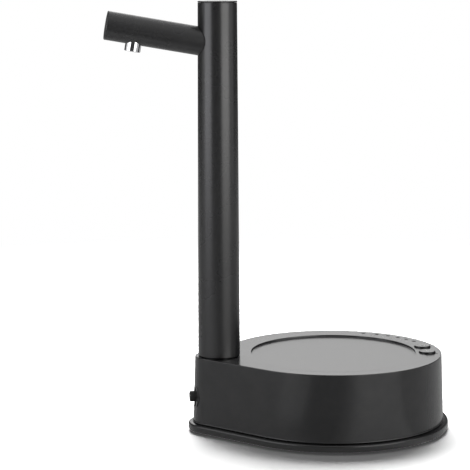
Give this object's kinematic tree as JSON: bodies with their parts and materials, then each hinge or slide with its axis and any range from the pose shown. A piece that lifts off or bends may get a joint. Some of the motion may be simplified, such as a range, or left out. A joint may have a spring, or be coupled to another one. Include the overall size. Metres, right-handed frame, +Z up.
{
  "type": "desktop bottled water pump",
  "caption": "Desktop pump for bottled water: teardrop base with a round cup recess, a turning post, a tilted spout with a metal nozzle, push buttons and a hose stub.",
  "frame": {"origin": "middle of the pump's whole footprint, base and spout together, on the floor that the rubber feet stand on", "axes": "+Z up along the post; the spout points along -X at rest, and +X goes from the post to the round end with the buttons"},
  "size_m": [0.1974, 0.1332, 0.2462],
  "materials": {
    "black_abs": "satin black moulded ABS",
    "black_acetal": "satin black acetal",
    "white_acetal": "satin natural acetal",
    "grey_nylon": "satin grey nylon",
    "black_rubber": "matte black rubber",
    "red_silicone": "matte red silicone",
    "clear_silicone": "clear soft silicone, drawn as an opaque milky grey",
    "polished_steel": "polished stainless steel",
    "zinc_plated_steel": "zinc-plated steel",
    "dark_ferrite": "dark sintered ferrite",
    "copper_winding": "enamelled copper wire on a steel core",
    "sintered_bronze": "sintered bronze",
    "green_board": "green solder mask over glass laminate",
    "light_guide_acrylic": "clear acrylic",
    "cell_wrap": "blue plastic wrap over a round cell"
  },
  "bodies": {
    "base": {"base_plate": "black_abs", "rubber_foot_1": "black_rubber", "rubber_foot_2": "black_rubber", "rubber_foot_3": "black_rubber", "rubber_foot_4": "black_rubber", "case_screw_1": "zinc_plated_steel", "case_screw_2": "zinc_plated_steel", "case_screw_3": "zinc_plated_steel", "case_screw_4": "zinc_plated_steel", "upper_housing": "black_abs", "tact_switch_1": "black_acetal", "tact_switch_2": "black_acetal", "led_light_guide": "light_guide_acrylic", "charge_light_lens": "light_guide_acrylic", "control_board": "green_board", "board_screw_1": "zinc_plated_steel", "board_screw_2": "zinc_plated_steel", "battery_cell": "cell_wrap", "battery_holder": "black_acetal", "usb_c_socket": "zinc_plated_steel", "usb_board": "green_board", "inlet_stub": "black_abs", "inlet_seal": "black_rubber", "inlet_hose": "clear_silicone", "outlet_hose": "clear_silicone", "motor_can": "zinc_plated_steel", "front_bearing": "sintered_bronze", "ring_magnet": "dark_ferrite", "motor_end_cap": "black_acetal", "valve_plate": "white_acetal", "diaphragm": "red_silicone", "pump_frame": "black_acetal", "pump_head": "black_acetal", "pump_screw_1": "zinc_plated_steel", "pump_screw_2": "zinc_plated_steel", "motor_sleeve": "black_rubber", "motor_clamp": "black_acetal", "clamp_screw_1": "zinc_plated_steel", "clamp_screw_2": "zinc_plated_steel", "swivel_bush": "black_acetal", "outlet_elbow": "white_acetal"},
    "post": {"post_tube": "black_abs", "post_cap": "black_abs", "spout_tube": "black_abs", "spout_end_cap": "black_abs", "water_tube": "clear_silicone", "nozzle_elbow": "white_acetal", "nozzle": "polished_steel", "flow_straightener": "grey_nylon", "riser_fitting": "white_acetal", "swivel_o_ring": "black_rubber", "retaining_clip": "zinc_plated_steel"},
    "power_button": {"power_button": "black_abs", "tact_plunger_1": "white_acetal"},
    "volume_button": {"volume_button": "black_abs", "tact_plunger_2": "white_acetal"},
    "pump_rotor": {"motor_shaft": "zinc_plated_steel", "armature": "copper_winding", "eccentric_hub": "white_acetal"},
    "wobble": {"wobble_plate": "white_acetal"}
  },
  "joints": [
    {"name": "spout_swivel", "type": "hinge", "parent": "base", "child": "post", "pos_m": [-0.03436, 0, 0.0443], "axis": [0, 0, 1], "range_deg": [-180, 180]},
    {"name": "power_button_press", "type": "slide", "parent": "base", "child": "power_button", "axis": [0, 0, -1], "range_m": [0, 0.0005], "stiffness_N_per_m": 1500},
    {"name": "volume_button_press", "type": "slide", "parent": "base", "child": "volume_button", "axis": [0, 0, -1], "range_m": [0, 0.0005], "stiffness_N_per_m": 1500},
    {"name": "pump_spin", "type": "hinge", "parent": "base", "child": "pump_rotor", "pos_m": [0.02714, -0.0115, 0.0195], "axis": [1, 0, 0], "continuous": true},
    {"name": "wobble_nutation", "type": "hinge", "parent": "pump_rotor", "child": "wobble", "pos_m": [0.02714, -0.0115, 0.0195], "axis": [0.9945, 0, -0.1045], "continuous": true}
  ],
  "couplings": [
    {"joint": "wobble_nutation", "follows": "pump_spin", "ratio": -1}
  ]
}
